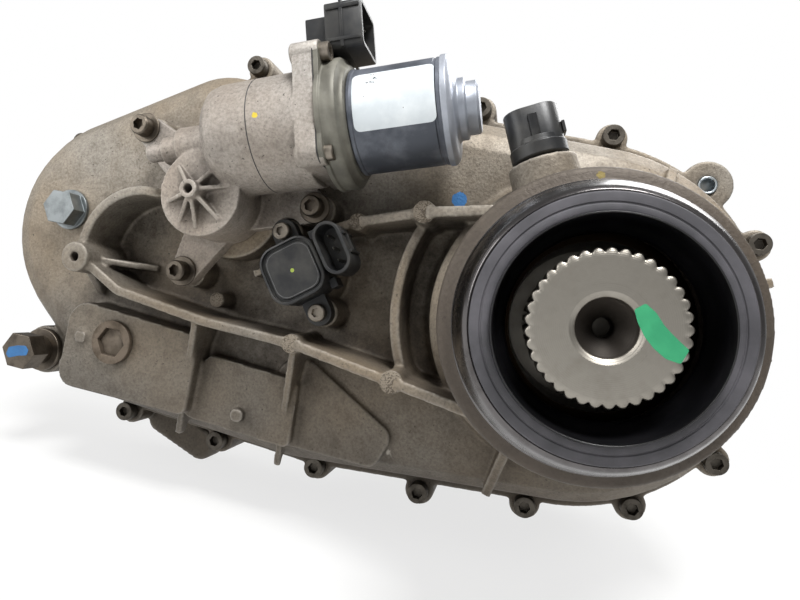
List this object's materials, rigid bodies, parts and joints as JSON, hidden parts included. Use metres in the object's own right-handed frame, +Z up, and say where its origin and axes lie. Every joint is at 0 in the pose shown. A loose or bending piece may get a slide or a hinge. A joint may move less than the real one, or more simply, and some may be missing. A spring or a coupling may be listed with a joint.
{
  "type": "transfer case",
  "caption": "Two-speed chain-driven transfer case: split cast housing, splined rear output, front output flange, electric shift actuator.",
  "frame": {"origin": "centre of the gearbox mounting face, on the main shaft axis", "axes": "+Y forwards along the main shaft towards the gearbox, +Z up, +X to the right seen from behind, the front output lies at -X"},
  "size_m": [0.381, 0.2615, 0.2223],
  "materials": {
    "cast_case": "rough cast",
    "cast_actuator": "rough cast",
    "bolt_steel": "weathered",
    "zinc": "zinc plated",
    "plug": "dull",
    "seal_rubber": "matt",
    "bronze": "satin",
    "race_steel": "ground",
    "gear_steel": "satin",
    "shaft_steel": "machined",
    "fork_cast": "cast",
    "friction": "paper lining",
    "flange_iron": "machined",
    "motor_black": "satin black",
    "magnet": "matt",
    "armature": "lacquered",
    "plastic_black": "satin",
    "plastic_gear": "natural nylon"
  },
  "bodies": {
    "case": {"front_case": "cast_case", "rear_case": "cast_case", "case_bolts": "bolt_steel", "big_lug_bush": "zinc", "fill_plug": "zinc", "drain_plug": "plug", "ear_bolt": "bolt_steel", "ear_washer": "zinc", "rear_seal": "seal_rubber", "yoke_bushing": "bronze", "input_seal": "seal_rubber", "front_output_seal": "seal_rubber", "outer_races": "race_steel", "bearing_balls": "race_steel", "ring_gear": "gear_steel", "fork_rail": "shaft_steel", "actuator_housing": "cast_actuator", "actuator_screws": "bolt_steel", "motor_bell": "motor_black", "motor_can": "motor_black", "motor_magnets": "magnet", "motor_end_cap": "motor_black", "motor_connector": "plastic_black", "position_sensor": "plastic_black", "sensor_screws": "bolt_steel", "speed_sensor": "plastic_black", "silent_chain": "gear_steel"},
    "rear_output_train": {"main_shaft": "shaft_steel", "main_races": "race_steel", "tone_ring": "gear_steel", "friction_plates": "friction"},
    "input_train": {"input_shaft": "shaft_steel", "input_race": "race_steel", "pilot_bush": "bronze"},
    "carrier": {"planet_carrier": "gear_steel"},
    "planet_1": {"planet_gear_1": "gear_steel"},
    "planet_2": {"planet_gear_2": "gear_steel"},
    "planet_3": {"planet_gear_3": "gear_steel"},
    "sleeve": {"range_sleeve": "gear_steel"},
    "fork": {"range_fork": "fork_cast"},
    "shift_train": {"shift_shaft": "shaft_steel", "cam_drum": "gear_steel", "worm_wheel": "plastic_gear", "position_gear": "plastic_gear"},
    "motor_rotor": {"motor_armature": "armature"},
    "sensor_rotor": {"sensor_rotor": "plastic_gear"},
    "front_output_train": {"front_output_shaft": "shaft_steel", "driven_sprocket": "gear_steel", "front_races": "race_steel", "companion_flange": "flange_iron", "flange_nut": "flange_iron"},
    "drive_sprocket": {"drive_sprocket": "gear_steel", "steel_plates": "gear_steel"}
  },
  "joints": [
    {"name": "rear_output_spin", "type": "hinge", "parent": "case", "child": "rear_output_train", "pos_m": [0, -0.15, 0], "axis": [0, -1, 0], "continuous": true},
    {"name": "input_spin", "type": "hinge", "parent": "case", "child": "input_train", "pos_m": [0, -0.04, 0], "axis": [0, -1, 0], "continuous": true},
    {"name": "carrier_spin", "type": "hinge", "parent": "case", "child": "carrier", "pos_m": [0, -0.07, 0], "axis": [0, -1, 0], "continuous": true},
    {"name": "planet_1_spin", "type": "hinge", "parent": "carrier", "child": "planet_1", "pos_m": [0.03885, -0.053, 0], "axis": [0, -1, 0], "continuous": true},
    {"name": "planet_2_spin", "type": "hinge", "parent": "carrier", "child": "planet_2", "pos_m": [-0.01943, -0.053, 0.03365], "axis": [0, -1, 0], "continuous": true},
    {"name": "planet_3_spin", "type": "hinge", "parent": "carrier", "child": "planet_3", "pos_m": [-0.01943, -0.053, -0.03365], "axis": [0, -1, 0], "continuous": true},
    {"name": "shift_turn", "type": "hinge", "parent": "case", "child": "shift_train", "pos_m": [-0.14908, -0.12, 0.0215], "axis": [0, -1, 0], "range_deg": [0, 90]},
    {"name": "sleeve_slide", "type": "slide", "parent": "rear_output_train", "child": "sleeve", "axis": [0, -1, 0], "range_m": [0, 0.01]},
    {"name": "fork_slide", "type": "slide", "parent": "case", "child": "fork", "axis": [0, -1, 0], "range_m": [0, 0.01]},
    {"name": "motor_spin", "type": "hinge", "parent": "case", "child": "motor_rotor", "pos_m": [-0.13816, -0.198, 0.04587], "axis": [0.9641, 0, 0.2656], "range_deg": [0, 2880]},
    {"name": "sensor_turn", "type": "hinge", "parent": "case", "child": "sensor_rotor", "pos_m": [-0.10806, -0.17, -0.00105], "axis": [0, -1, 0], "range_deg": [-234, 0]},
    {"name": "front_output_spin", "type": "hinge", "parent": "case", "child": "front_output_train", "pos_m": [-0.21908, -0.1, 0], "axis": [0, -1, 0], "continuous": true, "deforming": ["silent_chain"]},
    {"name": "drive_sprocket_spin", "type": "hinge", "parent": "case", "child": "drive_sprocket", "pos_m": [0, -0.13, 0], "axis": [0, -1, 0], "continuous": true}
  ],
  "couplings": [
    {"joint": "input_spin", "follows": "rear_output_spin", "ratio": 1},
    {"joint": "carrier_spin", "follows": "rear_output_spin", "ratio": 0.35714},
    {"joint": "planet_1_spin", "follows": "rear_output_spin", "ratio": -1.6071},
    {"joint": "planet_2_spin", "follows": "rear_output_spin", "ratio": -1.6071},
    {"joint": "planet_3_spin", "follows": "rear_output_spin", "ratio": -1.6071},
    {"joint": "sleeve_slide", "follows": "shift_turn", "m_per_rad": 0.0063662},
    {"joint": "fork_slide", "follows": "shift_turn", "m_per_rad": 0.0063662},
    {"joint": "motor_spin", "follows": "shift_turn", "ratio": 32},
    {"joint": "sensor_turn", "follows": "shift_turn", "ratio": -2.6},
    {"joint": "drive_sprocket_spin", "follows": "front_output_spin", "ratio": 1}
  ]
}
